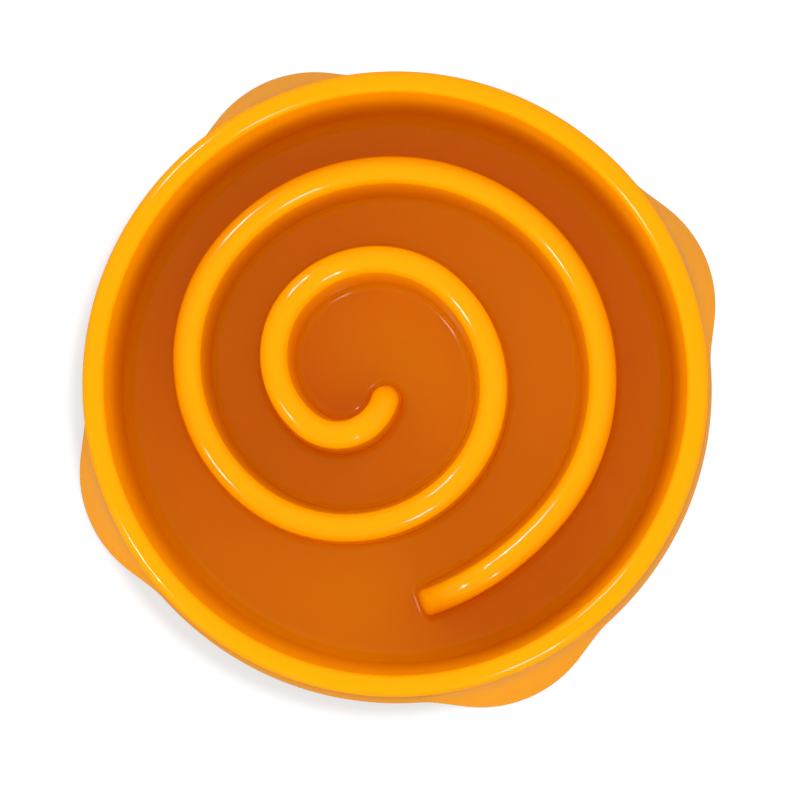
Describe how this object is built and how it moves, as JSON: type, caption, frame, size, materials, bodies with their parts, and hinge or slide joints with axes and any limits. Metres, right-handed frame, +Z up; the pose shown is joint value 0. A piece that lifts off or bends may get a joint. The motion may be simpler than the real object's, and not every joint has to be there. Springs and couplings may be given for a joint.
{
  "type": "slow feeder bowl",
  "caption": "Round pet bowl with a tall hollow ridge that spirals across its floor, on outward foot lobes with rubber non-slip strips",
  "frame": {"origin": "on the surface that the bowl stands on, under the centre of the round rim", "axes": "+Z up, along the bowl's axis; +X and +Y through two neighbouring foot lobes"},
  "size_m": [0.3, 0.3, 0.064],
  "materials": {
    "bowl_plastic": "glossy orange",
    "foot_rubber": "matt dark grey"
  },
  "bodies": {
    "root": {"bowl": "bowl_plastic", "non_slip_foot_1": "foot_rubber", "non_slip_foot_2": "foot_rubber", "non_slip_foot_3": "foot_rubber", "non_slip_foot_4": "foot_rubber"}
  },
  "joints": []
}
